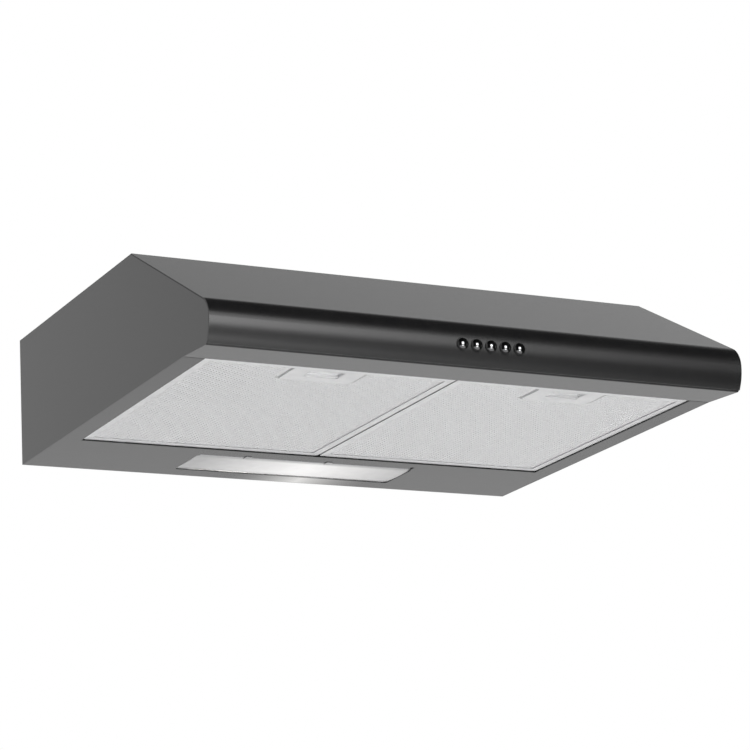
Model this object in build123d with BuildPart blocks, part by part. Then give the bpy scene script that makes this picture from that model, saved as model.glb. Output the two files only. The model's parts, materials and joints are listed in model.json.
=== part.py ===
from build123d import *
from math import asin, cos, degrees, radians, sin, sqrt, tan
import os

os.makedirs("parts", exist_ok=True)

# A 60 cm under cabinet range hood. The origin is the middle of the rear edge of the flat top, where
# wall and cabinet meet. +X is right as seen from the front, +Y points at the wall, +Z is up.

# ---- Driving dimensions, mm ----

# Body
width = 598
depth = 500
height = 140
sheet = 0.8                 # painted steel sheet
lay = 0.1                   # gap between two sheets that lie on each other
panel_seam = 0.5            # open seam between a side panel and the front panel
flange_width = 12
slope_angle = 29.75         # degrees down from the flat top
nose_radius = 24            # tight bend between the slope and the front
fascia_radius = 50          # gentle curve of the front below the nose
nose_height = 23            # foremost line above the underside
fascia_drop = 2             # how far the front panel reaches below the underside
rail_drop = 3.2             # how much lower the front rail's front edge is than the underside
rail_depth = 64             # depth of the front rail, from the front to the filters
lip_height = 4.2            # upturned edge around the filters

# Underside
lamp_panel_depth = 115
filter_width = 274
filter_gap = 2.4            # between the two filters
filter_play = 0.8           # around each filter
filter_thickness = 8.5
filter_recess = 1.2         # the filters sit this far above the underside
filter_wall = 0.6
filter_lip = 8.5
mesh_sheets = 5

# Lamp
lens_length = 260
lens_depth = 62
lens_middle_y = -57
ledge_depth = 11            # shallow recess in front of the diffuser, for a finger
ledge_rise = 1
lamp_height = 34

# Push buttons
button_count = 5
button_pitch = 16
button_middle_x = 3
button_height = 18          # above the underside
button_diameter = 11
button_stand = 3.4          # crown of the button in front of the front panel
button_dome = 3.2           # height of the domed face
button_travel = 3

# Air outlet and blower
outlet_diameter = 120
outlet_y = -135
collar_height = 32
wheel_radius = 48
wheel_length = 84
wheel_y = -185
wheel_z = -65
scroll_radius = 55
scroll_step = 6             # growth of the scroll's radius in each quarter turn
scroll_wall = 2
shaft_radius = 4
running_gap = 0.05          # radial, between a shaft or pin and its hole

# ---- Places worked out from them ----

half_width = width / 2
inner_half = half_width - sheet - lay
underside = -height
floor_top = underside + sheet
slope = radians(slope_angle)
nose_y = -(depth - nose_radius)
fascia_y = -(depth - fascia_radius)
nose_z = underside + nose_height
fascia_low = underside - fascia_drop
slope_end_y = nose_y - nose_radius * sin(slope)
slope_end_z = nose_z + nose_radius * cos(slope)
ridge_y = slope_end_y - slope_end_z / tan(slope)
rail_rear_y = -(depth - rail_depth)
lip_top = underside + lip_height
filter_bottom = underside + filter_recess
filter_top = filter_bottom + filter_thickness
filter_front_y = rail_rear_y + filter_play
filter_rear_y = -lamp_panel_depth - 1.5
filter_length = filter_rear_y - filter_front_y
filter_middle_y = (filter_rear_y + filter_front_y) / 2
filter_middle_x = (filter_gap + filter_width) / 2
filter_edge_x = filter_middle_x + filter_width / 2
button_z = underside + button_height
button_xs = [button_middle_x + button_pitch * (i - (button_count - 1) / 2) for i in range(button_count)]


def save(builder, name):
    """Label a finished piece and write it to its own file."""
    builder.part.label = name
    export_step(builder.part, f"parts/{name}.step")


def block(low, high, mode=Mode.ADD):
    """A box between two corners, in the part that is open."""
    size = Vector(*high) - Vector(*low)
    with Locations(Vector(*low) + size / 2):
        Box(size.X, size.Y, size.Z, mode=mode)


def rod(start, axis, radius, length, mode=Mode.ADD):
    """A round bar from start along axis, in the part that is open."""
    with BuildSketch(Plane(origin=start, z_dir=axis)) as section:
        Circle(radius)
    extrude(section.sketch, amount=length, mode=mode)


def ring(start, axis, outer, inner, length, mode=Mode.ADD):
    """A tube from start along axis, in the part that is open."""
    with BuildSketch(Plane(origin=start, z_dir=axis)) as section:
        Circle(outer)
        Circle(inner, mode=Mode.SUBTRACT)
    extrude(section.sketch, amount=length, mode=mode)


def screws(name, places, axis, shank_radius, length, head_radius, head_height):
    """A group of pan head screws: each place is under the head, and axis points along the shank."""
    along = Vector(*axis)
    with BuildPart() as group:
        for place in places:
            seat = Vector(*place)
            rod(seat, along, shank_radius, length)
            rod(seat, along * -1, head_radius, head_height)
    save(group, name)


# ---- Body panels ----

def slope_y(inset, z):
    """Where the slope, moved inwards by inset, is at height z."""
    return ridge_y + (inset + z * cos(slope)) / sin(slope)


def fascia_at(inset, z):
    """Where the front curve below the nose, moved inwards by inset, is at height z."""
    return fascia_y - sqrt((fascia_radius - inset) ** 2 - (z - nose_z) ** 2)


def canopy_line(inset, top_z, low_z):
    """Draw slope, nose and fascia, moved inwards by inset, from top_z down to low_z. Gives its ends."""
    nose_r = nose_radius - inset
    fascia_r = fascia_radius - inset
    top = (slope_y(inset, top_z), top_z)
    Line(top, (nose_y - nose_r * sin(slope), nose_z + nose_r * cos(slope)))
    CenterArc((nose_y, nose_z), nose_r, 90 + slope_angle, 90 - slope_angle)
    CenterArc((fascia_y, nose_z), fascia_r, 180, degrees(asin((nose_z - low_z) / fascia_r)))
    return top, (fascia_at(inset, low_z), low_z)


hem_inset = 2 * sheet + 0.15
rail_seam = 0.6
rail_front_y = fascia_at(hem_inset, underside - rail_drop) + rail_seam
side_inset = sheet + panel_seam
side_top = -(sheet + lay)


def side_panel(name, side):
    """A flat side with inward flanges at its top, rear and slope. side is -1 on the left."""
    outer = side * half_width
    inner = side * (half_width - sheet)
    flange_end = side * (half_width - flange_width)
    low, high = sorted((inner, flange_end))
    with BuildPart() as panel:
        with BuildSketch(Plane.YZ.offset(outer)):
            with BuildLine():
                top, bottom = canopy_line(side_inset, side_top, underside - fascia_drop)
                Polyline(
                    bottom,
                    (rail_front_y, underside - rail_drop),
                    (rail_rear_y, underside),
                    (0, underside),
                    (0, side_top),
                    top,
                )
            make_face()
        extrude(amount=-side * sheet)
        block((low, ridge_y + 4, side_top - sheet), (high, -sheet - lay, side_top))
        block((low, -2 * sheet - lay, floor_top + lay), (high, -sheet - lay, side_top))
        with BuildSketch(Plane.YZ.offset(low)):
            with BuildLine():
                start = (slope_y(side_inset, -6), -6)
                end = (slope_y(side_inset, slope_end_z + 4), slope_end_z + 4)
                Polyline(
                    start,
                    end,
                    (end[0] + sheet * sin(slope), end[1] - sheet * cos(slope)),
                    (start[0] + sheet * sin(slope), start[1] - sheet * cos(slope)),
                    close=True,
                )
            make_face()
        extrude(amount=high - low)
    save(panel, name)


side_panel("left_side_panel", -1)
side_panel("right_side_panel", 1)

# Top panel: outlet hole, cabinet screw holes at its corners and blower screw holes around the outlet
cabinet_hole_radius = 3
cabinet_spacing_x = 480
cabinet_spacing_y = 200
cabinet_middle_y = -160
duct_gap = 1.5              # room for the duct's end around the collar
blower_screw_radius = 2
blower_screw_x = 55
blower_screw_y = 52
blower_places = [
    (x, outlet_y + y) for x in (-blower_screw_x, blower_screw_x) for y in (-blower_screw_y, blower_screw_y)
]

with BuildPart() as top_panel:
    block((-half_width, ridge_y + lay, -sheet), (half_width, 0, 0))
    with BuildSketch(Plane.XY.offset(-sheet)):
        with Locations((0, outlet_y)):
            Circle(outlet_diameter / 2 + duct_gap)
        with Locations((0, cabinet_middle_y)):
            with GridLocations(cabinet_spacing_x, cabinet_spacing_y, 2, 2):
                Circle(cabinet_hole_radius)
        with Locations(*blower_places):
            Circle(blower_screw_radius)
    extrude(amount=sheet, mode=Mode.SUBTRACT)
save(top_panel, "top_panel")

# Rear panel: two wall screw holes and the cable inlet
wall_hole_radius = 4
wall_spacing = 450
wall_hole_z = -30
cable_x = -175
cable_z = -28
grommet_radius = 9

with BuildPart() as rear_panel:
    block((-inner_half, -sheet, underside), (inner_half, 0, side_top))
    for hole_x in (-wall_spacing / 2, wall_spacing / 2):
        rod((hole_x, 0, wall_hole_z), (0, -1, 0), wall_hole_radius, sheet, Mode.SUBTRACT)
    rod((cable_x, 0, cable_z), (0, -1, 0), grommet_radius, sheet, Mode.SUBTRACT)
save(rear_panel, "rear_panel")

# Front panel: slope, nose and fascia in one bent sheet, hemmed at its lower edge
hem_half = half_width - flange_width - 1
hem_top = fascia_low + 10
button_hole_radius = 6.6
top_flange = 15             # how far the front panel runs on below the top panel

with BuildPart() as front_panel:
    with BuildSketch(Plane.YZ.offset(-half_width)):
        with BuildLine():
            outer_top, outer_low = canopy_line(0, 0, fascia_low)
            inner_top, inner_low = canopy_line(sheet, -sheet / cos(slope), fascia_low)
            Line(outer_top, inner_top)
            Line(outer_low, inner_low)
        make_face()
    extrude(amount=width)
    with BuildSketch(Plane.YZ.offset(-hem_half)):
        with BuildLine():
            for radius in (fascia_radius - sheet, fascia_radius - 2 * sheet):
                start, end = [degrees(asin((nose_z - z) / radius)) for z in (hem_top, fascia_low)]
                CenterArc((fascia_y, nose_z), radius, 180 + start, end - start)
            for z in (hem_top, fascia_low):
                Line((fascia_at(sheet, z), z), (fascia_at(2 * sheet, z), z))
        make_face()
    extrude(amount=2 * hem_half)
    block((-hem_half, ridge_y - 1.5, side_top - sheet), (hem_half, ridge_y + top_flange, side_top))
    for x in button_xs:
        rod((x, -depth - 2, button_z), (0, 1, 0), button_hole_radius, 6, Mode.SUBTRACT)
save(front_panel, "front_panel")

# Front rail: a bent strip that closes the underside behind the fascia and rises gently to the filters
flange_top_z = button_z - 7
with BuildPart() as front_rail:
    with BuildSketch(Plane.YZ.offset(-inner_half)):
        with BuildLine() as rail_line:
            FilletPolyline(
                (fascia_at(hem_inset, flange_top_z), flange_top_z),
                (rail_front_y, underside - rail_drop),
                (rail_rear_y, underside),
                (rail_rear_y, lip_top),
                radius=1.5,
            )
            offset(rail_line.line, amount=sheet, side=Side.LEFT)
        make_face()
    extrude(amount=2 * inner_half)
save(front_rail, "front_rail")


def side_rail(name, side):
    """A flat strip beside a filter, with an upturned lip. side is -1 on the left."""
    lip_x = filter_edge_x + filter_play
    with BuildPart() as rail:
        for x_low, x_high, z_high in ((lip_x, inner_half, floor_top), (lip_x, lip_x + sheet, lip_top)):
            low, high = sorted((side * x_low, side * x_high))
            block((low, rail_rear_y + lay, underside), (high, -lamp_panel_depth - lay, z_high))
    save(rail, name)


side_rail("left_side_rail", -1)
side_rail("right_side_rail", 1)

# Lamp panel: the rear strip of the underside, with the lamp opening, its ledge and the filters' rear edge
lens_gap = 1
lens_corner = 3.5
lens_front_y = lens_middle_y - lens_depth / 2
lens_rear_y = lens_middle_y + lens_depth / 2
ledge_half = lens_length / 2 - 1
ledge_front_y = lens_front_y - lens_gap - ledge_depth
ledge_top = floor_top + ledge_rise
tab_width = 14
tab_offsets = (-95, 95)
tab_xs = [side * filter_middle_x + x for side in (-1, 1) for x in tab_offsets]

with BuildPart() as lamp_panel:
    block((-inner_half, -lamp_panel_depth, underside), (inner_half, -sheet - lay, floor_top))
    block(
        (-inner_half, -lamp_panel_depth, floor_top),
        (inner_half, -lamp_panel_depth + sheet, underside + 10),
    )
    block(
        (-ledge_half - sheet, ledge_front_y - sheet, floor_top),
        (ledge_half + sheet, lens_middle_y, ledge_top),
    )
    block(
        (-ledge_half, ledge_front_y, underside),
        (ledge_half, lens_middle_y, ledge_top - sheet),
        Mode.SUBTRACT,
    )
    with BuildSketch(Plane.XY.offset(underside)):
        with Locations((0, lens_middle_y)):
            RectangleRounded(lens_length + 2 * lens_gap, lens_depth + 2 * lens_gap, lens_corner + 0.5)
    extrude(amount=sheet + ledge_rise, mode=Mode.SUBTRACT)
    for x in tab_xs:
        block(
            (x - tab_width / 2 - 1, -lamp_panel_depth, floor_top + lay),
            (x + tab_width / 2 + 1, -lamp_panel_depth + sheet, underside + 5),
            Mode.SUBTRACT,
        )
save(lamp_panel, "lamp_panel")

# ---- Grease filters: frame, mesh, latch plate and latch, one set on each side ----

pivot_y = -lamp_panel_depth - 0.2
pivot_z = filter_bottom + 0.8
tab_thickness = 1
mesh_thickness = 0.5
mesh_pitch = 1.6
plate_width = 76
plate_front_y = filter_front_y + filter_lip + 0.3
plate_rear_y = plate_front_y + 38
plate_wall_top = filter_top - 1.2
cup_width = 38
cup_depth = 16
cup_recess = 2.5
cup_front_y = plate_front_y + 2
cup_rear_y = cup_front_y + cup_depth
latch_travel = 5
window_play = 0.4
tongue_half = 9
tongue_low = filter_bottom + cup_recess + 1
tongue_high = tongue_low + 1.6
tongue_tip_y = rail_rear_y - 4


def filter_frame(name, middle_x):
    """A channel section frame with a slot for the latch tongue and two tabs on its rear edge."""
    channel_height = filter_thickness - 2 * filter_wall
    with BuildPart() as frame:
        for z_low, thickness, inset, corner, mode in (
            (filter_bottom, filter_thickness, 0, 4, Mode.ADD),
            (filter_bottom + filter_wall, channel_height, filter_wall, 3.4, Mode.SUBTRACT),
            (filter_bottom, filter_thickness, filter_lip, 1.5, Mode.SUBTRACT),
        ):
            with BuildSketch(Plane.XY.offset(z_low)):
                with Locations((middle_x, filter_middle_y)):
                    RectangleRounded(filter_width - 2 * inset, filter_length - 2 * inset, corner)
            extrude(amount=thickness, mode=mode)
        block(
            (middle_x - tongue_half - 0.5, filter_front_y, tongue_low - 0.5),
            (middle_x + tongue_half + 0.5, filter_front_y + filter_wall, tongue_high + 0.5),
            Mode.SUBTRACT,
        )
        for tab_x in (middle_x + offset_x for offset_x in tab_offsets):
            block(
                (tab_x - tab_width / 2, filter_rear_y - filter_wall, pivot_z - tab_thickness / 2),
                (tab_x + tab_width / 2, filter_rear_y + 7, pivot_z + tab_thickness / 2),
            )
    save(frame, name)


def filter_mesh(name, middle_x):
    """The stack of mesh sheets inside the frame, cut away around the latch plate."""
    inside = 2 * filter_wall + 0.6
    cut_depth = plate_rear_y + 0.4 - filter_front_y
    with BuildPart() as mesh:
        for i in range(mesh_sheets):
            with BuildSketch(Plane.XY.offset(filter_bottom + filter_wall + 0.1 + i * mesh_pitch)):
                with Locations((middle_x, filter_middle_y)):
                    RectangleRounded(filter_width - inside, filter_length - inside, 3)
                with Locations((middle_x, filter_front_y)):
                    Rectangle(plate_width + 0.8, 2 * cut_depth, mode=Mode.SUBTRACT)
            extrude(amount=mesh_thickness)
    save(mesh, name)


def latch_plate(name, middle_x):
    """A plate flush with the frame, with walls up into the filter and a window for the finger cup."""
    half = plate_width / 2
    window_half = cup_width / 2 + window_play
    window_rear_y = cup_rear_y + latch_travel + window_play
    wall = 0.8
    with BuildPart() as plate:
        block(
            (middle_x - half, plate_front_y, filter_bottom),
            (middle_x + half, plate_rear_y, plate_wall_top),
        )
        fillet(plate.edges().filter_by(Axis.Z).group_by(Axis.Y)[-1], 3)
        block(
            (middle_x - half + wall, plate_front_y, filter_bottom + wall),
            (middle_x + half - wall, plate_rear_y - wall, plate_wall_top),
            Mode.SUBTRACT,
        )
        block(
            (middle_x - window_half, cup_front_y - window_play, filter_bottom),
            (middle_x + window_half, window_rear_y, filter_bottom + wall),
            Mode.SUBTRACT,
        )
    save(plate, name)


def filter_latch(name, middle_x):
    """A sliding latch: finger cup, flange that rides on the plate, and tongue over the front rail's lip."""
    flange_low = filter_bottom + 0.9
    half = cup_width / 2
    with BuildPart() as latch:
        block(
            (middle_x - half - 3, cup_front_y - 1, flange_low),
            (middle_x + half + 3, cup_rear_y + 7, flange_low + 0.8),
        )
        block((middle_x - half, cup_front_y, filter_bottom), (middle_x + half, cup_rear_y, tongue_low))
        fillet(latch.edges().filter_by(Axis.Z).group_by(SortBy.LENGTH)[-1], 2)
        block(
            (middle_x - half + 1, cup_front_y + 1, filter_bottom),
            (middle_x + half - 1, cup_rear_y - 1, filter_bottom + cup_recess),
            Mode.SUBTRACT,
        )
        block(
            (middle_x - tongue_half, tongue_tip_y, tongue_low),
            (middle_x + tongue_half, cup_front_y + 8, tongue_high),
        )
        fillet(latch.edges().filter_by(Axis.Z).group_by(Axis.Y)[0], 2)
    save(latch, name)


for side_name, side in (("left", -1), ("right", 1)):
    filter_frame(f"{side_name}_filter_frame", side * filter_middle_x)
    filter_mesh(f"{side_name}_filter_mesh", side * filter_middle_x)
    latch_plate(f"{side_name}_latch_plate", side * filter_middle_x)
    filter_latch(f"{side_name}_filter_latch", side * filter_middle_x)

# ---- Lamp: diffuser on two trunnions, housing, holder and bulb ----

trunnion_radius = 1.5
trunnion_y = lens_rear_y - 2
trunnion_z = underside + 3
housing_sheet = 0.6
housing_corner = 12
housing_flange = 6
trunnion_bore = trunnion_radius + running_gap
lens_thickness = 1.6
finger_tab_xs = (-72, 26)
finger_tab_half = 3.5
finger_tab_low = underside + 0.3
housing_half = lens_length / 2 + 2
housing_front_y = ledge_front_y - 2.4
housing_rear_y = lens_rear_y + 2.4
housing_top = floor_top + lamp_height
lamp_axis_y = lens_middle_y
lamp_axis_z = underside + 19
holder_length = 16
holder_outer = 11.5
holder_bore = 7.4
holder_flange_radius = 14
holder_flange_thickness = 3
bulb_cap_length = 22
bulb_cap_radius = 6.6
bulb_contact_radius = 3
bulb_contact_length = 2
bulb_neck_x = -housing_half + housing_sheet + holder_length + bulb_cap_length

with BuildPart() as lamp_lens:
    with BuildSketch(Plane.YZ.offset(-lens_length / 2)):
        with BuildLine():
            edge_low = underside + 1.4
            crown_low = underside + 0.1
            for rise in (0, lens_thickness):
                front, rear = [(y, edge_low + rise) for y in (lens_front_y, lens_rear_y)]
                ThreePointArc(front, (lens_middle_y, crown_low + rise), rear)
            for y in (lens_front_y, lens_rear_y):
                Line((y, edge_low), (y, edge_low + lens_thickness))
        make_face()
    extrude(amount=lens_length)
    fillet(lamp_lens.edges().filter_by(Axis.Z), lens_corner)
    for side in (-1, 1):
        low_x, high_x = sorted((side * (lens_length / 2 - 3), side * lens_length / 2))
        block(
            (low_x, trunnion_y - 8, edge_low + 0.6),
            (high_x, trunnion_y + 0.5, trunnion_z + trunnion_radius),
        )
        rod((side * (lens_length / 2 - 1), trunnion_y, trunnion_z), (side, 0, 0), trunnion_radius, 3.4)
    for x in finger_tab_xs:
        low_x, high_x = x - finger_tab_half, x + finger_tab_half
        block((low_x, lens_front_y - 6, finger_tab_low), (high_x, lens_front_y + 3, ledge_top - sheet - lay))
        block((low_x, lens_front_y, finger_tab_low), (high_x, lens_front_y + 3, edge_low + 0.6))
save(lamp_lens, "lamp_lens")

with BuildPart() as lamp_cavity:
    block(
        (-housing_half + housing_sheet, housing_front_y + housing_sheet, floor_top),
        (housing_half - housing_sheet, housing_rear_y - housing_sheet, housing_top - housing_sheet),
    )
    fillet(lamp_cavity.edges().filter_by(Axis.X).group_by(Axis.Z)[-1], housing_corner - housing_sheet)

with BuildPart() as lamp_housing:
    block((-housing_half, housing_front_y, floor_top), (housing_half, housing_rear_y, housing_top))
    fillet(lamp_housing.edges().filter_by(Axis.X).group_by(Axis.Z)[-1], housing_corner)
    block(
        (-housing_half - housing_flange, housing_front_y - housing_flange, floor_top),
        (housing_half + housing_flange, housing_rear_y + housing_flange, floor_top + housing_sheet),
    )
    add(lamp_cavity.part, mode=Mode.SUBTRACT)
    rod((-housing_half, trunnion_y, trunnion_z), (1, 0, 0), trunnion_bore, 2 * housing_half, Mode.SUBTRACT)
save(lamp_housing, "lamp_housing")

with BuildPart() as lamp_holder:
    start_x = -housing_half + housing_sheet
    sleeve_x = start_x + holder_flange_thickness
    sleeve_length = holder_length + bulb_cap_length - 8
    rod((start_x, lamp_axis_y, lamp_axis_z), (1, 0, 0), holder_flange_radius, holder_flange_thickness)
    ring((sleeve_x, lamp_axis_y, lamp_axis_z), (1, 0, 0), holder_outer, holder_bore, sleeve_length)
save(lamp_holder, "lamp_holder")

with BuildPart() as bulb_cap:
    cap_start = bulb_neck_x - bulb_cap_length
    contact_start = cap_start - bulb_contact_length
    rod((cap_start, lamp_axis_y, lamp_axis_z), (1, 0, 0), bulb_cap_radius, bulb_cap_length)
    rod((contact_start, lamp_axis_y, lamp_axis_z), (1, 0, 0), bulb_contact_radius, bulb_contact_length)
save(bulb_cap, "bulb_cap")

bulb_neck = (bulb_neck_x, lamp_axis_y, lamp_axis_z)
with BuildPart() as bulb_glass:
    with BuildSketch(Plane(origin=bulb_neck, x_dir=(1, 0, 0), z_dir=(0, -1, 0))):
        with BuildLine():
            Line((0, 0), (0, 7))
            Spline((0, 7), (14, 12), (32, 15), (52, 12), (74, 0), tangents=((1, 0.2), (-0.1, -1)))
            Line((74, 0), (0, 0))
        make_face()
    revolve(axis=Axis(bulb_neck, (1, 0, 0)))
save(bulb_glass, "bulb_glass")

# ---- Push buttons: bezel strip, buttons, switch module and its bracket ----

module_half = 42
module_front_y = -(depth - 7)
module_rear_y = module_front_y + 40
module_low_z = button_z - 7
module_high_z = button_z + 8.5
bezel_outer = 6.4
bezel_inner = 5.8
stem_radius = 2
stem_play = 0.3

with BuildPart() as button_bezel:
    block(
        (button_middle_x - module_half, module_front_y - 1.2, button_z - 6.5),
        (button_middle_x + module_half, module_front_y, button_z + 6.5),
    )
    bezel_length = depth + module_front_y + 1
    for x in button_xs:
        rod((x, module_front_y, button_z), (0, -1, 0), bezel_outer, bezel_length)
        rod((x, module_front_y, button_z), (0, -1, 0), bezel_inner, bezel_length, Mode.SUBTRACT)
save(button_bezel, "button_bezel")

with BuildPart() as switch_module:
    block(
        (button_middle_x - module_half, module_front_y, module_low_z),
        (button_middle_x + module_half, module_rear_y, module_high_z),
    )
    for x in button_xs:
        rod((x, module_front_y, button_z), (0, 1, 0), stem_radius + stem_play, 14, Mode.SUBTRACT)
save(switch_module, "switch_module")

crown_y = -(depth + button_stand)
shoulder_y = crown_y + button_dome
cap_rear_y = module_front_y - button_travel - 0.5
for button_name, x in zip(("lamp", "off", "low", "medium", "high"), button_xs):
    with BuildPart() as button:
        with BuildSketch(Plane.XY.offset(button_z)):
            with BuildLine():
                rim_x = x + button_diameter / 2
                TangentArc((x, crown_y), (rim_x, shoulder_y), tangent=(1, 0))
                Polyline((rim_x, shoulder_y), (rim_x, cap_rear_y), (x, cap_rear_y), (x, crown_y))
            make_face()
        revolve(axis=Axis((x, 0, button_z), (0, 1, 0)))
        rod((x, cap_rear_y, button_z), (0, 1, 0), stem_radius, 12)
    save(button, f"{button_name}_button")

bracket_sheet = 1.2
switch_screw_radius = 1.5
switch_screw_xs = (button_middle_x - 30, button_middle_x + 30)
with BuildPart() as switch_bracket:
    block(
        (button_middle_x - module_half, module_rear_y, floor_top),
        (button_middle_x + module_half, module_rear_y + bracket_sheet, module_high_z),
    )
    block(
        (button_middle_x - module_half, module_rear_y, floor_top),
        (button_middle_x + module_half, rail_rear_y - 2, floor_top + bracket_sheet),
    )
    for x in switch_screw_xs:
        rod((x, module_rear_y, button_z), (0, 1, 0), switch_screw_radius, bracket_sheet, Mode.SUBTRACT)
save(switch_bracket, "switch_bracket")

# ---- Air outlet: collar, pin and two non-return flaps ----

collar_radius = outlet_diameter / 2
collar_bore = collar_radius - 2.5
flange_radius = collar_radius + 11
flange_thickness = 2
flange_low_z = side_top - flange_thickness
flap_z = 10
pin_radius = 1.5
knuckle_radius = 3
knuckle_bore = pin_radius + running_gap
flap_radius = collar_bore - 1
flap_thickness = 1

with BuildPart() as outlet_collar:
    rod((0, outlet_y, flange_low_z), (0, 0, 1), flange_radius, flange_thickness)
    rod((0, outlet_y, flange_low_z), (0, 0, 1), collar_radius, collar_height - flange_low_z)
    rod((0, outlet_y, flange_low_z), (0, 0, 1), collar_bore - 2, flap_z - 0.8 - flange_low_z, Mode.SUBTRACT)
    rod((0, outlet_y, flap_z - 0.8), (0, 0, 1), collar_bore, collar_height, Mode.SUBTRACT)
    rod((-collar_radius, outlet_y, flap_z), (1, 0, 0), pin_radius, 2 * collar_radius, Mode.SUBTRACT)
save(outlet_collar, "outlet_collar")

with BuildPart() as flap_pin:
    rod((-collar_radius, outlet_y, flap_z), (1, 0, 0), pin_radius, 2 * collar_radius)
save(flap_pin, "flap_pin")


def outlet_flap(name, side, knuckles):
    """A half disc on knuckles round the pin. side is -1 for the front flap, a knuckle is (low x, high x)."""
    low_y, high_y = sorted((side * (knuckle_radius + 0.4), side * collar_radius))
    with BuildPart() as flap:
        with BuildSketch(Plane.XY.offset(flap_z - flap_thickness / 2)):
            with Locations((0, outlet_y)):
                Circle(flap_radius)
            with Locations((0, outlet_y + (low_y + high_y) / 2)):
                Rectangle(2 * collar_radius, high_y - low_y, mode=Mode.INTERSECT)
        extrude(amount=flap_thickness)
        for low_x, high_x in knuckles:
            web_low, web_high = sorted((outlet_y, outlet_y + side * (knuckle_radius + 1)))
            block(
                (low_x, web_low, flap_z - flap_thickness / 2),
                (high_x, web_high, flap_z + flap_thickness / 2),
            )
            rod((low_x, outlet_y, flap_z), (1, 0, 0), knuckle_radius, high_x - low_x)
        for low_x, high_x in knuckles:
            rod((low_x, outlet_y, flap_z), (1, 0, 0), knuckle_bore, high_x - low_x, Mode.SUBTRACT)
    save(flap, name)


outlet_flap("front_outlet_flap", -1, ((-45, -25), (25, 45)))
outlet_flap("rear_outlet_flap", 1, ((-24, 24),))

# ---- Blower: scroll housing in two halves, open to the collar, with a round inlet on each side ----

housing_half_length = 47
scroll_top_z = flange_low_z
plate_bottom = scroll_top_z - scroll_wall
throat_front_y = wheel_y - 3 + scroll_radius * cos(radians(55))
inlet_radius = 40
arm_angles = (90, 210, 330)
foot_radius = 49
arm_screw_radius = 1.5


def wheel_point(x, radius, angle):
    """A point at a radius and angle around the wheel's axis."""
    return (x, wheel_y + radius * cos(radians(angle)), wheel_z + radius * sin(radians(angle)))


def scroll_face():
    """The space inside the scroll: three quarter turns of growing radius, then straight up."""
    radii = [scroll_radius + i * scroll_step for i in range(3)]
    first = (wheel_y - 3, wheel_z - 1)
    second = (first[0] + scroll_step, first[1])
    third = (second[0], second[1] + scroll_step)
    rear_y = third[0] + radii[2]
    tongue = (throat_front_y, first[1] + radii[0] * sin(radians(55)))
    with BuildSketch() as face:
        with BuildLine():
            CenterArc(first, radii[0], 55, 125)
            CenterArc(second, radii[1], 180, 90)
            CenterArc(third, radii[2], 270, 90)
            Polyline((rear_y, third[1]), (rear_y, scroll_top_z), (tongue[0], scroll_top_z), tongue)
        make_face()
    return face.sketch


def blower_housing(name, side):
    """One half of the scroll housing. side is -1 on the left."""
    low_x, high_x = sorted((0, side * housing_half_length))
    inner_low, inner_high = sorted((0, side * (housing_half_length - scroll_wall)))
    cheek_x = side * (housing_half_length - scroll_wall)
    with BuildPart() as housing:
        with BuildSketch(Plane.YZ.offset(low_x)):
            add(scroll_face())
            offset(amount=scroll_wall, kind=Kind.INTERSECTION)
        extrude(amount=high_x - low_x)
        block((low_x - 80, -300, scroll_top_z), (high_x + 80, 0, scroll_top_z + 10), Mode.SUBTRACT)
        plate_low, plate_high = sorted((0, side * 62))
        block((plate_low, outlet_y - 60, plate_bottom), (plate_high, outlet_y + 60, scroll_top_z))
        with BuildSketch(Plane.YZ.offset(inner_low)):
            add(scroll_face())
        extrude(amount=inner_high - inner_low, mode=Mode.SUBTRACT)
        rod(wheel_point(cheek_x, 0, 0), (side, 0, 0), inlet_radius, scroll_wall, Mode.SUBTRACT)
        for x, y in blower_places:
            if x * side > 0:
                rod((x, y, plate_bottom), (0, 0, 1), blower_screw_radius, scroll_wall, Mode.SUBTRACT)
        if side > 0:
            for angle in arm_angles:
                hole = wheel_point(cheek_x, foot_radius, angle)
                rod(hole, (1, 0, 0), arm_screw_radius, scroll_wall, Mode.SUBTRACT)
    save(housing, name)


blower_housing("left_blower_housing", -1)
blower_housing("right_blower_housing", 1)
screw_places = [(x, y, plate_bottom) for x, y in blower_places]
screws("blower_screws", screw_places, (0, 0, 1), blower_screw_radius, -lay - plate_bottom, 3.5, 2)

# Impeller: forward curved blades between two end rings, a centre disc and a hub
blade_count = 36
blade_inner = 39
blade_outer = 47.4
blade_thickness = 0.8
wheel_half = wheel_length / 2
hub_radius = 9

with BuildSketch() as blade:
    with BuildLine():
        ThreePointArc((blade_inner, 0), (blade_inner + 4.6, 0.6), (blade_outer, 4))
        Line((blade_outer, 4), (blade_outer - 0.5, 4 + blade_thickness))
        ThreePointArc(
            (blade_outer - 0.5, 4 + blade_thickness),
            (blade_inner + 4.3, 0.6 + blade_thickness),
            (blade_inner, blade_thickness),
        )
        Line((blade_inner, blade_thickness), (blade_inner, 0))
    make_face()

with BuildPart() as impeller:
    with BuildSketch(Plane(origin=(-wheel_half, wheel_y, wheel_z), x_dir=(0, 1, 0), z_dir=(1, 0, 0))):
        with PolarLocations(0, blade_count):
            add(blade.sketch)
    extrude(amount=wheel_length)
    for x in (-wheel_half, wheel_half - 2):
        ring(wheel_point(x, 0, 0), (1, 0, 0), wheel_radius, wheel_radius - 5, 2)
    ring(wheel_point(-1, 0, 0), (1, 0, 0), wheel_radius - 2, shaft_radius, 2)
    ring(wheel_point(-10, 0, 0), (1, 0, 0), hub_radius, shaft_radius, 20)
save(impeller, "impeller")

# ---- Motor: can, end cap, stator, rotor core, shaft and bearings, on a three-armed bracket ----

motor_x = 51
motor_length = 44
motor_radius = 34
can_wall = 1
can_bore = motor_radius - can_wall
bearing_radius = 8
bearing_length = 7
stator_x = motor_x + 10
stator_length = 24
air_gap = 0.5
rotor_radius = 18

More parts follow.
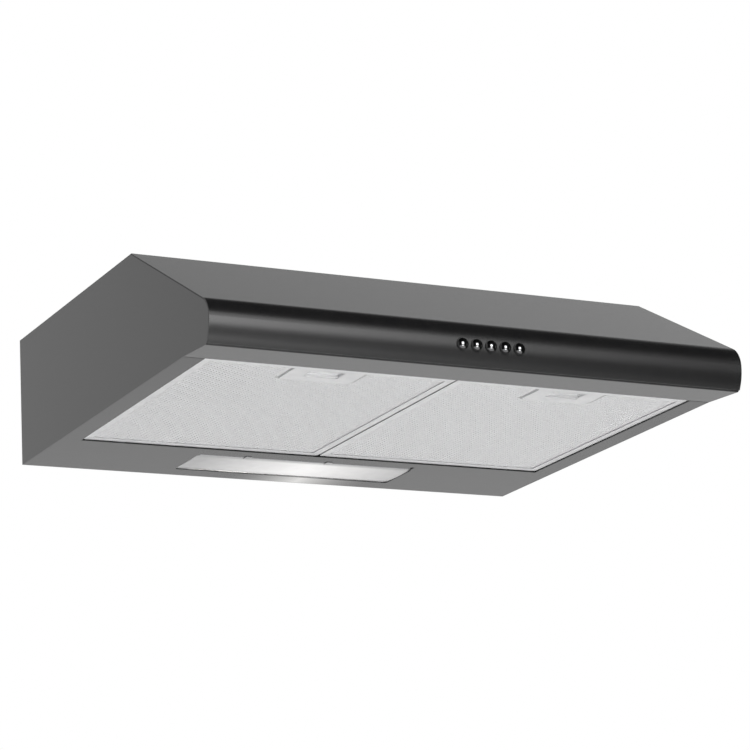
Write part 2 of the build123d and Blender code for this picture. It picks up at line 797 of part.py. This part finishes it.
with BuildPart() as motor_can:
    rod(wheel_point(motor_x, 0, 0), (1, 0, 0), motor_radius, motor_length)
    rod(wheel_point(motor_x + can_wall, 0, 0), (1, 0, 0), can_bore, motor_length, Mode.SUBTRACT)
    rod(wheel_point(motor_x, 0, 0), (1, 0, 0), bearing_radius + 2, bearing_length)
    rod(wheel_point(motor_x, 0, 0), (1, 0, 0), bearing_radius, bearing_length, Mode.SUBTRACT)
save(motor_can, "motor_can")

cap_x = motor_x + motor_length
with BuildPart() as motor_end_cap:
    rod(wheel_point(cap_x, 0, 0), (1, 0, 0), motor_radius, 1.2)
    fillet(motor_end_cap.edges().group_by(Axis.X)[-1], 1)
    rod(wheel_point(cap_x - bearing_length, 0, 0), (1, 0, 0), bearing_radius + 2, bearing_length)
    rod(wheel_point(cap_x - bearing_length, 0, 0), (1, 0, 0), bearing_radius, bearing_length, Mode.SUBTRACT)
save(motor_end_cap, "motor_end_cap")

with BuildPart() as motor_stator:
    ring(wheel_point(stator_x, 0, 0), (1, 0, 0), can_bore, rotor_radius + air_gap, stator_length)
    for angle in range(0, 360, 60):
        for x in (stator_x - 3, stator_x + stator_length):
            rod(wheel_point(x, (motor_radius + rotor_radius) / 2, angle), (1, 0, 0), 6, 3)
save(motor_stator, "motor_stator")

with BuildPart() as motor_bearings:
    for x in (motor_x, cap_x - bearing_length):
        ring(wheel_point(x, 0, 0), (1, 0, 0), bearing_radius, shaft_radius + running_gap, bearing_length)
save(motor_bearings, "motor_bearings")

with BuildPart() as rotor_core:
    ring(wheel_point(stator_x, 0, 0), (1, 0, 0), rotor_radius, shaft_radius, stator_length)
save(rotor_core, "rotor_core")

with BuildPart() as motor_shaft:
    rod(wheel_point(-13, 0, 0), (1, 0, 0), shaft_radius, cap_x - 1 + 13)
save(motor_shaft, "motor_shaft")

foot_sheet = 1.5
foot_x = housing_half_length
clamp_x = motor_x + 6
with BuildPart() as motor_bracket:
    ring(wheel_point(clamp_x, 0, 0), (1, 0, 0), motor_radius + foot_sheet, motor_radius, 12)
    for angle in arm_angles:
        radial = Vector(0, cos(radians(angle)), sin(radians(angle)))
        for start, radial_length, x_length in (
            (wheel_point(clamp_x, motor_radius + 0.5, angle), foot_radius - 5 - motor_radius, foot_sheet),
            (wheel_point(foot_x, foot_radius - 6, angle), foot_sheet, clamp_x - foot_x + foot_sheet),
            (wheel_point(foot_x, foot_radius - 6, angle), 10, foot_sheet),
        ):
            with BuildSketch(Plane(origin=start, x_dir=(1, 0, 0), z_dir=radial)) as arm:
                with Locations((x_length / 2, 0)):
                    Rectangle(x_length, 9)
            extrude(arm.sketch, amount=radial_length)
        hole = wheel_point(foot_x, foot_radius, angle)
        rod(hole, (1, 0, 0), arm_screw_radius, foot_sheet, Mode.SUBTRACT)
save(motor_bracket, "motor_bracket")

arm_places = [wheel_point(foot_x + foot_sheet, foot_radius, angle) for angle in arm_angles]
screws("bracket_screws", arm_places, (-1, 0, 0), arm_screw_radius, foot_sheet + scroll_wall, 2.8, 1.6)

# ---- Electrics: capacitor, terminal box, cable grommet ----

capacitor_radius = 15
capacitor_length = 62
capacitor_x = 150
capacitor_y = -60
capacitor_z = side_top - capacitor_radius - 0.5

with BuildPart() as capacitor:
    rod((capacitor_x, capacitor_y, capacitor_z), (1, 0, 0), capacitor_radius, capacitor_length)
    fillet(capacitor.edges(), 1.5)
    for z in (-5, 5):
        block(
            (capacitor_x - 8, capacitor_y - 3, capacitor_z + z - 0.4),
            (capacitor_x + 1, capacitor_y + 3, capacitor_z + z + 0.4),
        )
save(capacitor, "capacitor")

strap_width = 12
with BuildPart() as capacitor_strap:
    with BuildSketch(Plane.YZ.offset(capacitor_x + (capacitor_length - strap_width) / 2)):
        with Locations((capacitor_y, capacitor_z)):
            Circle(capacitor_radius + 1)
        with Locations((capacitor_y, side_top - 0.5)):
            Rectangle(52, 1)
        with Locations((capacitor_y, side_top - 25)):
            Rectangle(60, 50, mode=Mode.INTERSECT)
        with Locations((capacitor_y, capacitor_z)):
            Circle(capacitor_radius, mode=Mode.SUBTRACT)
    extrude(amount=strap_width)
save(capacitor_strap, "capacitor_strap")

box_low = (cable_x - 75, -62, side_top - 46)
box_high = (cable_x - 25, -2 * sheet - lay, side_top)
box_wall = 2
cover_thickness = 2
cover_low_z = box_low[2] - cover_thickness
cover_screw_radius = 1.5
cover_screw_length = 12
boss_radius = 3
boss_inset = box_wall + 2.5
boss_y = (box_low[1] + box_high[1]) / 2
cover_screw_places = [(x, boss_y, cover_low_z) for x in (box_low[0] + boss_inset, box_high[0] - boss_inset)]

with BuildPart() as terminal_box:
    block(box_low, box_high)
    block(
        (box_low[0] + box_wall, box_low[1] + box_wall, box_low[2]),
        (box_high[0] - box_wall, box_high[1] - box_wall, box_high[2] - box_wall),
        Mode.SUBTRACT,
    )
    for x, y, z in cover_screw_places:
        rod((x, y, box_low[2]), (0, 0, 1), boss_radius, box_high[2] - box_wall - box_low[2])
        rod((x, y, box_low[2]), (0, 0, 1), cover_screw_radius, cover_screw_length, Mode.SUBTRACT)
save(terminal_box, "terminal_box")

with BuildPart() as terminal_cover:
    block((box_low[0], box_low[1], cover_low_z), (box_high[0], box_high[1], box_low[2]))
    fillet(terminal_cover.edges().group_by(Axis.Z)[0], 1.2)
    for x, y, z in cover_screw_places:
        rod((x, y, z), (0, 0, 1), cover_screw_radius, cover_thickness, Mode.SUBTRACT)
save(terminal_cover, "terminal_cover")
screws("cover_screws", cover_screw_places, (0, 0, 1), cover_screw_radius, cover_screw_length, 2.8, 1.6)

cable_bore = 4
grommet_length = 9
grommet_rim = 3
with BuildPart() as cable_grommet:
    place = Vector(cable_x, 0, cable_z)
    ring(place, (0, -1, 0), grommet_radius, cable_bore, grommet_length)
    ring(place - Vector(0, sheet, 0), (0, -1, 0), grommet_radius + grommet_rim, cable_bore, 2)
    fillet(cable_grommet.edges().group_by(Axis.Y)[0], 0.8)
save(cable_grommet, "cable_grommet")

switch_places = [(x, module_rear_y + bracket_sheet, button_z) for x in switch_screw_xs]
screws("switch_screws", switch_places, (0, -1, 0), switch_screw_radius, bracket_sheet, 2.8, 1.6)
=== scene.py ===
"""Looks of the under cabinet range hood: materials, expanded filter mesh, studio light and camera.

Metres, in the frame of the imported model: +X right from the front, +Y to the wall, +Z up, origin in the
middle of the rear edge of the flat top.
"""
import json
import math

import bpy
from mathutils import Matrix, Vector

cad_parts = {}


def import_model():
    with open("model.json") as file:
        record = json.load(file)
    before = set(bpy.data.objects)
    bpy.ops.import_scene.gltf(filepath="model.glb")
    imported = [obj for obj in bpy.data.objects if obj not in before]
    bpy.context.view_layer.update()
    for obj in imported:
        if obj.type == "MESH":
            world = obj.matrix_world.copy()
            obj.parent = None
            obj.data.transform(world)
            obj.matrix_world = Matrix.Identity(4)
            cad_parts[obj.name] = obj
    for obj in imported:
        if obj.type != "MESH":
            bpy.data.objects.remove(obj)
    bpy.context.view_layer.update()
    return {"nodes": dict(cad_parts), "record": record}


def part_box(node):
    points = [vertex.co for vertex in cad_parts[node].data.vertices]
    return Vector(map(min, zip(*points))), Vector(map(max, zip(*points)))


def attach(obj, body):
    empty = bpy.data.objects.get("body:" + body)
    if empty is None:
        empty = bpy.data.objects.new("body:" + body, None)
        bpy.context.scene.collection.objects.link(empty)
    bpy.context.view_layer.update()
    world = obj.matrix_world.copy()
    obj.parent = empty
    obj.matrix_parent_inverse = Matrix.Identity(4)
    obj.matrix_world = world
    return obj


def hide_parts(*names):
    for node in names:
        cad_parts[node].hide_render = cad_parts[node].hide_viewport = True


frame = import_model()
nodes = frame["nodes"]

# ---- Node tools ----

# Most values of a noise texture lie between these.
NOISE_LOW = 0.3
NOISE_HIGH = 0.7


class Tree:
    """A node tree, and short calls that add nodes to it. A value is a socket or a number."""

    def __init__(self, tree):
        self.tree = tree

    def node(self, kind, **settings):
        made = self.tree.nodes.new(kind)
        for key, value in settings.items():
            setattr(made, key, value)
        return made

    def link(self, value, socket):
        if isinstance(value, (int, float)):
            socket.default_value = value
        else:
            self.tree.links.new(value, socket)

    def maths(self, operation, *values):
        made = self.node("ShaderNodeMath", operation=operation)
        for value, socket in zip(values, made.inputs):
            self.link(value, socket)
        return made.outputs[0]

    def parts(self, vector):
        """X, Y and Z of a vector."""
        made = self.node("ShaderNodeSeparateXYZ")
        self.link(vector, made.inputs["Vector"])
        return made.outputs

    def span(self, value, from_low, from_high, to_low, to_high, **settings):
        """Map a value from one range to another, and hold it beyond the ends."""
        made = self.node("ShaderNodeMapRange", **settings)
        self.link(value, made.inputs["Value"])
        ranges = {"From Min": from_low, "From Max": from_high, "To Min": to_low, "To Max": to_high}
        for key, number in ranges.items():
            made.inputs[key].default_value = number
        return made.outputs["Result"]


class Shader(Tree):
    """A material with a Principled BSDF. Places are in the frame, in metres."""

    def __init__(self, name, **values):
        self.material = bpy.data.materials.new(name)
        self.material.use_nodes = True
        super().__init__(self.material.node_tree)
        self.bsdf = self.tree.nodes["Principled BSDF"]
        self.place = self.node("ShaderNodeTexCoord").outputs["Object"]
        for key, value in values.items():
            self.bsdf.inputs[key.replace("_", " ")].default_value = value

    def scaled(self, x, y, z):
        """The place of a point in the frame, stretched along each axis."""
        mapping = self.node("ShaderNodeMapping")
        self.link(self.place, mapping.inputs["Vector"])
        mapping.inputs["Scale"].default_value = (x, y, z)
        return mapping.outputs["Vector"]

    def noise(self, scale, detail=3, stretch=(1, 1, 1)):
        made = self.node("ShaderNodeTexNoise")
        self.link(self.scaled(*stretch), made.inputs["Vector"])
        made.inputs["Scale"].default_value = scale
        made.inputs["Detail"].default_value = detail
        return made.outputs["Fac"]

    def cells(self, scale, stretch=(1, 1, 1), feature="F1"):
        made = self.node("ShaderNodeTexVoronoi", feature=feature)
        self.link(self.scaled(*stretch), made.inputs["Vector"])
        made.inputs["Scale"].default_value = scale
        return made

    def bands(self, direction, scale):
        made = self.node("ShaderNodeTexWave", bands_direction=direction)
        self.link(self.place, made.inputs["Vector"])
        made.inputs["Scale"].default_value = scale
        return made.outputs["Fac"]

    def colour(self, value, low, high, from_low=NOISE_LOW, from_high=NOISE_HIGH):
        """Blend the base colour from low to high."""
        made = self.node("ShaderNodeValToRGB")
        self.link(value, made.inputs["Fac"])
        for stop, position, colour in zip(made.color_ramp.elements, (from_low, from_high), (low, high)):
            stop.position = position
            stop.color = (*colour, 1)
        self.link(made.outputs["Color"], self.bsdf.inputs["Base Color"])

    def rough(self, value, low, high):
        """Vary the roughness from low to high."""
        self.link(self.span(value, NOISE_LOW, NOISE_HIGH, low, high), self.bsdf.inputs["Roughness"])

    def glow(self, strength, colour):
        self.link(strength, self.bsdf.inputs["Emission Strength"])
        self.bsdf.inputs["Emission Color"].default_value = (*colour, 1)

    def bump(self, value, strength, distance):
        """Add a bump on top of any bump that is there."""
        made = self.node("ShaderNodeBump")
        made.inputs["Strength"].default_value = strength
        made.inputs["Distance"].default_value = distance
        self.link(value, made.inputs["Height"])
        below = self.bsdf.inputs["Normal"].links
        if below:
            self.link(below[0].from_socket, made.inputs["Normal"])
        self.link(made.outputs["Normal"], self.bsdf.inputs["Normal"])


# ---- Materials ----


def black_paint(name):
    """Satin black stove enamel on steel, with faint orange peel."""
    m = Shader(name, Roughness=0.26)
    m.colour(m.noise(60), (0.0032, 0.0032, 0.0034), (0.0042, 0.0042, 0.0042))
    m.rough(m.noise(240, 4), 0.25, 0.27)
    m.bump(m.noise(900, 2), 0.05, 0.0002)
    return m


LAMP_COLOUR = (1.0, 0.985, 0.965)
# Painted glow on the enamel behind the diffuser: emission in the paint standing for the bulb's light, not a
# lamp.
PAINTED_GLOW_X = 0.026             # the brightest place of the painted glow on the strip
PAINTED_GLOW_REACH = 0.09          # how far it spreads to either side
PAINTED_GLOW_PEAK = 0.55
PAINTED_GLOW_EDGE = 0.002          # how softly it begins behind the lens


def lamp_panel_paint_and_painted_glow():
    """The same enamel, with a painted glow: emission on the strip behind the diffuser that stands for the
    bulb's light spilling there.
    """
    m = black_paint("lamp_panel_paint_and_painted_glow")
    lens_rear_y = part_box("lamp_lens")[1].y
    place = m.parts(m.place)
    away = m.maths("ABSOLUTE", m.maths("SUBTRACT", place["X"], PAINTED_GLOW_X))
    along = m.maths("POWER", m.span(away, 0.0, PAINTED_GLOW_REACH, 1.0, 0.0), 2.0)
    across = m.span(place["Y"], lens_rear_y, lens_rear_y + PAINTED_GLOW_EDGE, 0.0, PAINTED_GLOW_PEAK)
    # Painted light: the strip glows as if lit by the bulb.
    m.glow(m.maths("MULTIPLY", along, across), LAMP_COLOUR)
    return m.material


def sheet_aluminium():
    """Bare rolled aluminium of the filter frames and latches, streaked along X."""
    m = Shader("rolled_aluminium", Metallic=1.0, Roughness=0.4)
    m.colour(m.noise(60, 4), (0.72, 0.72, 0.73), (0.80, 0.80, 0.80))
    m.rough(m.noise(900, 3, (0.04, 1, 1)), 0.36, 0.50)
    m.bump(m.noise(1600, 3, (0.03, 1, 1)), 0.08, 0.0002)
    return m.material


def mesh_aluminium():
    """Cut edges and strands of expanded aluminium, each catching the light differently."""
    m = Shader("expanded_aluminium", Metallic=1.0, Roughness=0.45)
    m.colour(m.noise(420, 4), (0.76, 0.76, 0.77), (0.86, 0.86, 0.86))
    m.rough(m.noise(800, 3), 0.38, 0.56)
    m.bump(m.noise(2500, 2), 0.15, 0.0001)
    return m.material


def wool_aluminium():
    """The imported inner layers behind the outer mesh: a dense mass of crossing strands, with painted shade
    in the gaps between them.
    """
    m = Shader("aluminium_wool", Metallic=1.0, Roughness=0.55)
    strands_and_painted_shade = m.cells(520, (1, 0.7, 1), "DISTANCE_TO_EDGE").outputs["Distance"]
    # Painted shade: darker towards the middle of each cell, standing for the shaded gaps between strands.
    m.colour(strands_and_painted_shade, (0.80, 0.80, 0.80), (0.66, 0.66, 0.67), 0.0, 0.35)
    m.bump(strands_and_painted_shade, 0.5, 0.0005)
    m.bump(m.noise(300, 4), 0.4, 0.001)
    return m.material


def galvanised_steel():
    """Zinc coated sheet with its spangle."""
    m = Shader("galvanised_steel", Metallic=1.0, Roughness=0.42)
    spangle = m.cells(140).outputs["Color"]
    m.colour(spangle, (0.55, 0.56, 0.57), (0.72, 0.73, 0.74), 0.1, 0.9)
    m.rough(spangle, 0.32, 0.52)
    m.bump(m.noise(900), 0.05, 0.0002)
    return m.material


def drawn_steel(name, low, high, rough_low, rough_high):
    """Steel with fine drawing or turning marks."""
    m = Shader(name, Metallic=1.0, Roughness=rough_low)
    m.colour(m.noise(90, 4), low, high)
    m.rough(m.noise(1200, 3, (1, 1, 0.05)), rough_low, rough_high)
    m.bump(m.noise(2200, 2, (1, 1, 0.05)), 0.06, 0.0001)
    return m.material


def plastic(name, low, high, rough_low, rough_high, grain=0.12):
    """Moulded plastic with a fine spark eroded grain."""
    m = Shader(name, Roughness=rough_low)
    m.colour(m.noise(25, 3), low, high)
    m.rough(m.noise(60, 3), rough_low, rough_high)
    m.bump(m.noise(2400, 2), grain, 0.0002)
    return m.material


def chrome():
    """Dark chrome plated button caps with faint wipe marks."""
    m = Shader("polished_chrome", Metallic=1.0, Roughness=0.06)
    m.colour(m.noise(300), (0.15, 0.15, 0.155), (0.18, 0.18, 0.18))
    m.rough(m.noise(500, 4), 0.04, 0.11)
    return m.material


LENS_BRIGHT_X = 0.012       # the brightest place, from the middle of the lens
LENS_EDGE_BAND = 0.016      # width of the duller band along the front edge
LENS_GLOW = 0.55
LENS_END_GLOW = 0.08


def lens():
    """Frosted ribbed diffuser, brightest underneath near its middle, duller at its ends and front edge."""
    m = Shader("lamp_diffuser", Roughness=0.35, Base_Color=(0.33, 0.33, 0.335, 1))
    low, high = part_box("lamp_lens")
    place = m.parts(m.place)
    facing = m.parts(m.node("ShaderNodeNewGeometry").outputs["Normal"])
    away = m.maths("ABSOLUTE", m.maths("SUBTRACT", place["X"], (low.x + high.x) / 2 + LENS_BRIGHT_X))
    along = m.span(away, 0.005, (high.x - low.x) / 2, LENS_GLOW, LENS_END_GLOW)
    beneath = m.span(facing["Z"], -0.95, -0.2, 1.0, 0.3)
    inward = m.span(place["Y"], low.y + LENS_EDGE_BAND / 2, low.y + LENS_EDGE_BAND, 0.12, 1.0)
    m.glow(m.maths("MULTIPLY", m.maths("MULTIPLY", along, beneath), inward), LAMP_COLOUR)
    m.rough(m.noise(80, 3), 0.3, 0.42)
    m.bump(m.bands("Y", 60), 0.25, 0.0004)
    return m.material


def glass():
    """Opal glass of the lit bulb."""
    m = Shader("opal_glass", Roughness=0.2, Base_Color=(0.95, 0.95, 0.93, 1))
    m.glow(m.span(m.noise(30), NOISE_LOW, NOISE_HIGH, 8.0, 10.0), (1.0, 0.95, 0.86))
    m.rough(m.noise(120), 0.15, 0.25)
    return m.material


def laminations():
    """Stacked stator steel, with the edge of each lamination showing."""
    m = Shader("stator_laminations", Metallic=0.85, Roughness=0.5)
    stack = m.bands("X", 330)
    m.colour(stack, (0.10, 0.10, 0.11), (0.26, 0.26, 0.27), 0.2, 0.8)
    m.bump(stack, 0.4, 0.0002)
    m.rough(m.noise(200), 0.42, 0.6)
    return m.material


finishes = {
    "black_paint": black_paint("satin_black_paint").material,
    "filter_aluminium": sheet_aluminium(),
    "filter_mesh": mesh_aluminium(),
    "lens": lens(),
    "galvanised": galvanised_steel(),
    "ceramic": plastic("white_ceramic", (0.70, 0.68, 0.64), (0.80, 0.79, 0.75), 0.4, 0.55),
    "brass": drawn_steel("lamp_brass", (0.60, 0.43, 0.18), (0.74, 0.56, 0.26), 0.28, 0.42),
    "bulb_glass": glass(),
    "bezel_plastic": plastic("bezel_black", (0.008, 0.008, 0.008), (0.014, 0.014, 0.014), 0.14, 0.22, 0.03),
    "switch_plastic": plastic("switch_black", (0.02, 0.02, 0.02), (0.035, 0.035, 0.035), 0.4, 0.52),
    "chrome": chrome(),
    "outlet_plastic": plastic("outlet_grey", (0.045, 0.045, 0.047), (0.065, 0.065, 0.067), 0.4, 0.52),
    "steel": drawn_steel("zinc_plated_steel", (0.52, 0.53, 0.55), (0.66, 0.66, 0.67), 0.22, 0.36),
    "housing_plastic": plastic("blower_grey", (0.10, 0.10, 0.105), (0.14, 0.14, 0.145), 0.42, 0.55),
    "motor_steel": drawn_steel("motor_steel", (0.36, 0.36, 0.38), (0.52, 0.52, 0.54), 0.3, 0.45),
    "stator": laminations(),
    "capacitor": plastic("capacitor_white", (0.66, 0.66, 0.62), (0.78, 0.78, 0.75), 0.3, 0.42),
    "rubber": plastic("grommet_rubber", (0.012, 0.012, 0.012), (0.03, 0.03, 0.03), 0.6, 0.75, 0.2),
}
slot_of = {part["node"]: part["material_slot"] for part in frame["record"]["subparts"]}
for name, node in nodes.items():
    node.data.materials.clear()
    node.data.materials.append(finishes[slot_of[name]])
# The lamp panel's enamel carries the painted glow behind the diffuser.
nodes["lamp_panel"].data.materials[0] = lamp_panel_paint_and_painted_glow()

# ---- Filter mesh: outer layers of real diamond strands around packed inner layers ----

# The openings of the outer sheets, and the strands around them
DIAMOND_LONG = 0.0085
DIAMOND_SHORT = 0.0050
STRAND_WIDTH = 0.0011
STRAND_THICK = 0.0004
STRAND_TILT = 0.00022
# The inner sheets: how deep they lie, the room each takes up, half its thickness, its cells and its crumple
WOOL_DEPTH = 0.0016
WOOL_ROOM = 0.0009
WOOL_HALF_THICK = 0.0004
WOOL_CELL = 0.004
WOOL_CRUMPLE = 0.0002
# Clear of the frame all round, and of the latch plate
FRAME_CLEARANCE = 0.0006
LATCH_CLEARANCE = 0.001
# Corners of each face of a box, where 0 to 3 run round one side and 4 to 7 round the other
BOX_FACES = ((0, 3, 2, 1), (4, 5, 6, 7), (0, 1, 5, 4), (2, 3, 7, 6), (1, 2, 6, 5), (3, 0, 4, 7))
# For each neighbour of a cell, the two corners of the edge shared with it
SHARED_EDGES = {
    (-1, 0): ((0, 1), (0, 0)),
    (1, 0): ((1, 0), (1, 1)),
    (0, -1): ((0, 0), (1, 0)),
    (0, 1): ((1, 1), (0, 1)),
}


def strand_lattice(low, high, z, hole):
    """Vertices and faces of an expanded metal sheet between two corners, open where hole holds a point."""
    half_long, half_short = DIAMOND_LONG / 2, DIAMOND_SHORT / 2
    columns = int((high.x - low.x) / half_long)
    rows = int((high.y - low.y) / half_short)
    verts, faces = [], []
    for i in range(columns):
        for j in range(rows + 1):
            if (i + j) % 2:
                continue
            for step in (-1, 1):
                if not 0 <= j + step <= rows:
                    continue
                a = Vector((low.x + i * half_long, low.y + j * half_short, z))
                b = Vector((low.x + (i + 1) * half_long, low.y + (j + step) * half_short, z))
                if hole(a) or hole(b):
                    continue
                side = Vector((a.y - b.y, b.x - a.x, 0)).normalized() * STRAND_WIDTH / 2
                tilt = Vector((0, 0, STRAND_TILT * step))
                lift = Vector((0, 0, STRAND_THICK))
                start = len(verts)
                ring = (a - side - tilt, b - side - tilt, b + side + tilt, a + side + tilt)
                verts += ring
                verts += [corner + lift for corner in ring]
                faces += [tuple(start + k for k in face) for face in BOX_FACES]
    return verts, faces


def crumple(x, y):
    """Height of the inner sheet's crumple: crossed waves 7 and 8 mm long, bent by slower ones."""
    return WOOL_CRUMPLE * math.sin(x * 900 + 2 * math.sin(y * 340)) * math.cos(y * 760 + x * 210)


def wool_sheet(low, high, z, hole):
    """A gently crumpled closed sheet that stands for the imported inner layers."""
    columns = int((high.x - low.x) / WOOL_CELL)
    rows = int((high.y - low.y) / WOOL_CELL)
    index, verts, faces = {}, [], []
    for layer, side in enumerate((-1, 1)):
        for i in range(columns + 1):
            for j in range(rows + 1):
                x = low.x + (high.x - low.x) * i / columns
                y = low.y + (high.y - low.y) * j / rows
                index[layer, i, j] = len(verts)
                verts.append(Vector((x, y, z + side * WOOL_HALF_THICK + crumple(x, y))))
    cells = set()
    for i in range(columns):
        for j in range(rows):
            middle = (verts[index[0, i, j]] + verts[index[0, i + 1, j + 1]]) / 2
            if not hole(middle):
                cells.add((i, j))
    for i, j in cells:
        corners = ((i, j), (i + 1, j), (i + 1, j + 1), (i, j + 1))
        for layer in (0, 1):
            quad = [index[layer, *corner] for corner in corners]
            faces.append(tuple(quad if layer else reversed(quad)))
        for (di, dj), (p, q) in SHARED_EDGES.items():
            if (i + di, j + dj) in cells:
                continue
            a, b = (i + p[0], j + p[1]), (i + q[0], j + q[1])
            faces.append((index[0, *a], index[0, *b], index[1, *b], index[1, *a]))
    return verts, faces


def add_piece(name, verts, faces, materials, face_materials=None):
    """A new mesh object from vertices and faces."""
    mesh = bpy.data.meshes.new(name)
    mesh.from_pydata([tuple(v) for v in verts], [], faces)
    for material in materials:
        mesh.materials.append(material)
    if face_materials is not None:
        mesh.polygons.foreach_set("material_index", face_materials)
    mesh.update()
    piece = bpy.data.objects.new(name, mesh)
    bpy.context.scene.collection.objects.link(piece)
    return piece


def filter_mesh(side, wool):
    """Two outer diamond sheets and the wool between them, in place of the plain CAD sheets."""
    node = f"{side}_filter_mesh"
    low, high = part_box(node)
    plate_low, plate_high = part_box(f"{side}_latch_plate")

    def hole(point):
        beside = plate_low.x - LATCH_CLEARANCE < point.x < plate_high.x + LATCH_CLEARANCE
        return beside and point.y < plate_high.y + LATCH_CLEARANCE

    margin = Vector((FRAME_CLEARANCE, FRAME_CLEARANCE, 0))
    layers = [
        strand_lattice(low + margin, high - margin, low.z + STRAND_TILT, hole),
        strand_lattice(low + margin, high - margin, high.z - STRAND_THICK - STRAND_TILT, hole),
        wool_sheet(low + margin, high - margin, low.z + WOOL_DEPTH, hole),
        wool_sheet(low + margin, high - margin, high.z - WOOL_DEPTH - WOOL_ROOM, hole),
    ]
    verts, faces, slots = [], [], []
    for number, (some_verts, some_faces) in enumerate(layers):
        start = len(verts)
        verts += some_verts
        faces += [tuple(start + k for k in face) for face in some_faces]
        slots += [0 if number < 2 else 1] * len(some_faces)
    piece = add_piece(f"{side}_expanded_mesh", verts, faces, [finishes["filter_mesh"], wool], slots)
    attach(piece, f"{side}_filter")
    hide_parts(node)


packing = wool_aluminium()
for side in ("left", "right"):
    filter_mesh(side, packing)

# ---- Studio ----

TARGET = Vector((0.0053, -0.25, -0.0829))
CAMERA_AZIMUTH = -28.0
CAMERA_ELEVATION = -15.54
CAMERA_DISTANCE = 2.983
CAMERA_ROLL = -3.16
FOCAL_LENGTH_MM = 135.1
SENSOR_WIDTH_MM = 36
FLOOR_Z = -3.2
FLOOR_HALF_SIZE = 5


def aim(thing, place, at, roll=0.0):
    """Stand a camera or light at place, looking at a point, rolled about its line of sight."""
    turn = (Vector(at) - Vector(place)).to_track_quat("-Z", "Y").to_matrix().to_4x4()
    thing.matrix_world = Matrix.Translation(place) @ turn @ Matrix.Rotation(roll, 4, "Z")


def bearing(azimuth, elevation, distance):
    """A point around the target. Azimuth 0 is in front, positive towards +X."""
    a, e = math.radians(azimuth), math.radians(elevation)
    return TARGET + distance * Vector((math.sin(a) * math.cos(e), -math.cos(a) * math.cos(e), math.sin(e)))


def camera():
    """A long lens, in front of the left corner and below the hood."""
    data = bpy.data.cameras.new("camera")
    data.lens = FOCAL_LENGTH_MM
    data.sensor_width = SENSOR_WIDTH_MM
    data.clip_end = 100
    thing = bpy.data.objects.new("camera", data)
    bpy.context.scene.collection.objects.link(thing)
    place = bearing(CAMERA_AZIMUTH, CAMERA_ELEVATION, CAMERA_DISTANCE)
    aim(thing, place, TARGET, math.radians(CAMERA_ROLL))
    bpy.context.scene.camera = thing


def softbox(name, place, width, height, radiance, glossy=True):
    """An area light of a given radiance, aimed at the target."""
    data = bpy.data.lights.new(name, "AREA")
    data.shape = "RECTANGLE"
    data.size = width
    data.size_y = height
    data.energy = radiance * math.pi * width * height
    thing = bpy.data.objects.new(name, data)
    bpy.context.scene.collection.objects.link(thing)
    aim(thing, place, TARGET)
    thing.visible_glossy = glossy
    thing.visible_camera = False


def floor():
    """A pale floor far below, which sends light up to the underside."""
    around = ((-1, -1), (1, -1), (1, 1), (-1, 1))
    corners = [(x * FLOOR_HALF_SIZE, y * FLOOR_HALF_SIZE, FLOOR_Z) for x, y in around]
    m = Shader("pale_floor", Roughness=0.9)
    m.colour(m.noise(2), (0.80, 0.80, 0.80), (0.83, 0.83, 0.83))
    add_piece("floor", corners, [(0, 1, 2, 3)], [m.material])


# Soft bright patches of the surroundings: the side that the bearing is counted from, the range of the
# bearing, the range of the elevation, and the radiance. A range in degrees is where the patch begins, is
# full, is full up to, and ends. DIM is the radiance everywhere else.
PATCHES = (
    ("rear", (-120, -90, 60, 90), (-30, -20, 26, 56), 0.85),
    ("front", (-22, -4, 9, 33), (-6, 6, 18, 42), 14.5),
    ("front", (-22, -4, 9, 33), (-26, -16, -10, 0), 2.2),
    ("front", (-22, -4, 10, 34), (-54, -42, -32, -16), 11.5),
)
DIM = 0.02


def world():
    """A dim room with soft bright patches, and plain white to the camera."""
    made = bpy.data.worlds.new("studio")
    bpy.context.scene.world = made
    made.use_nodes = True
    sky = Tree(made.node_tree)

    def within(value, begin, full, full_to, end):
        """One inside a range, falling softly to zero at its two ends."""
        rise = sky.span(value, begin, full, 0, 1, interpolation_type="SMOOTHSTEP")
        fall = sky.span(value, full_to, end, 1, 0, interpolation_type="SMOOTHSTEP")
        return sky.maths("MULTIPLY", rise, fall)

    x, y, z = sky.parts(sky.node("ShaderNodeTexCoord").outputs["Generated"])
    bearings = {
        "front": sky.maths("DEGREES", sky.maths("ARCTAN2", x, sky.maths("MULTIPLY", y, -1.0))),
        "rear": sky.maths("DEGREES", sky.maths("ARCTAN2", x, y)),
    }
    elevation = sky.maths("DEGREES", sky.maths("ARCSINE", z))
    total = DIM
    for side, bearing_range, elevation_range, radiance in PATCHES:
        across, up = within(bearings[side], *bearing_range), within(elevation, *elevation_range)
        patch = sky.maths("MULTIPLY", sky.maths("MULTIPLY", across, up), radiance)
        total = sky.maths("ADD", total, patch)
    seen = sky.node("ShaderNodeLightPath").outputs["Is Camera Ray"]
    background = sky.tree.nodes["Background"]
    background.inputs["Color"].default_value = (1, 1, 1, 1)
    sky.link(sky.maths("MAXIMUM", total, seen), background.inputs["Strength"])


def studio():
    """Floor, surroundings and overhead light, with the picture's colours left as they are rendered."""
    floor()
    world()
    softbox("overhead", (0, -0.3, 4.0), width=5, height=5, radiance=5.7, glossy=False)
    bpy.context.scene.view_settings.view_transform = "Standard"


camera()
studio()
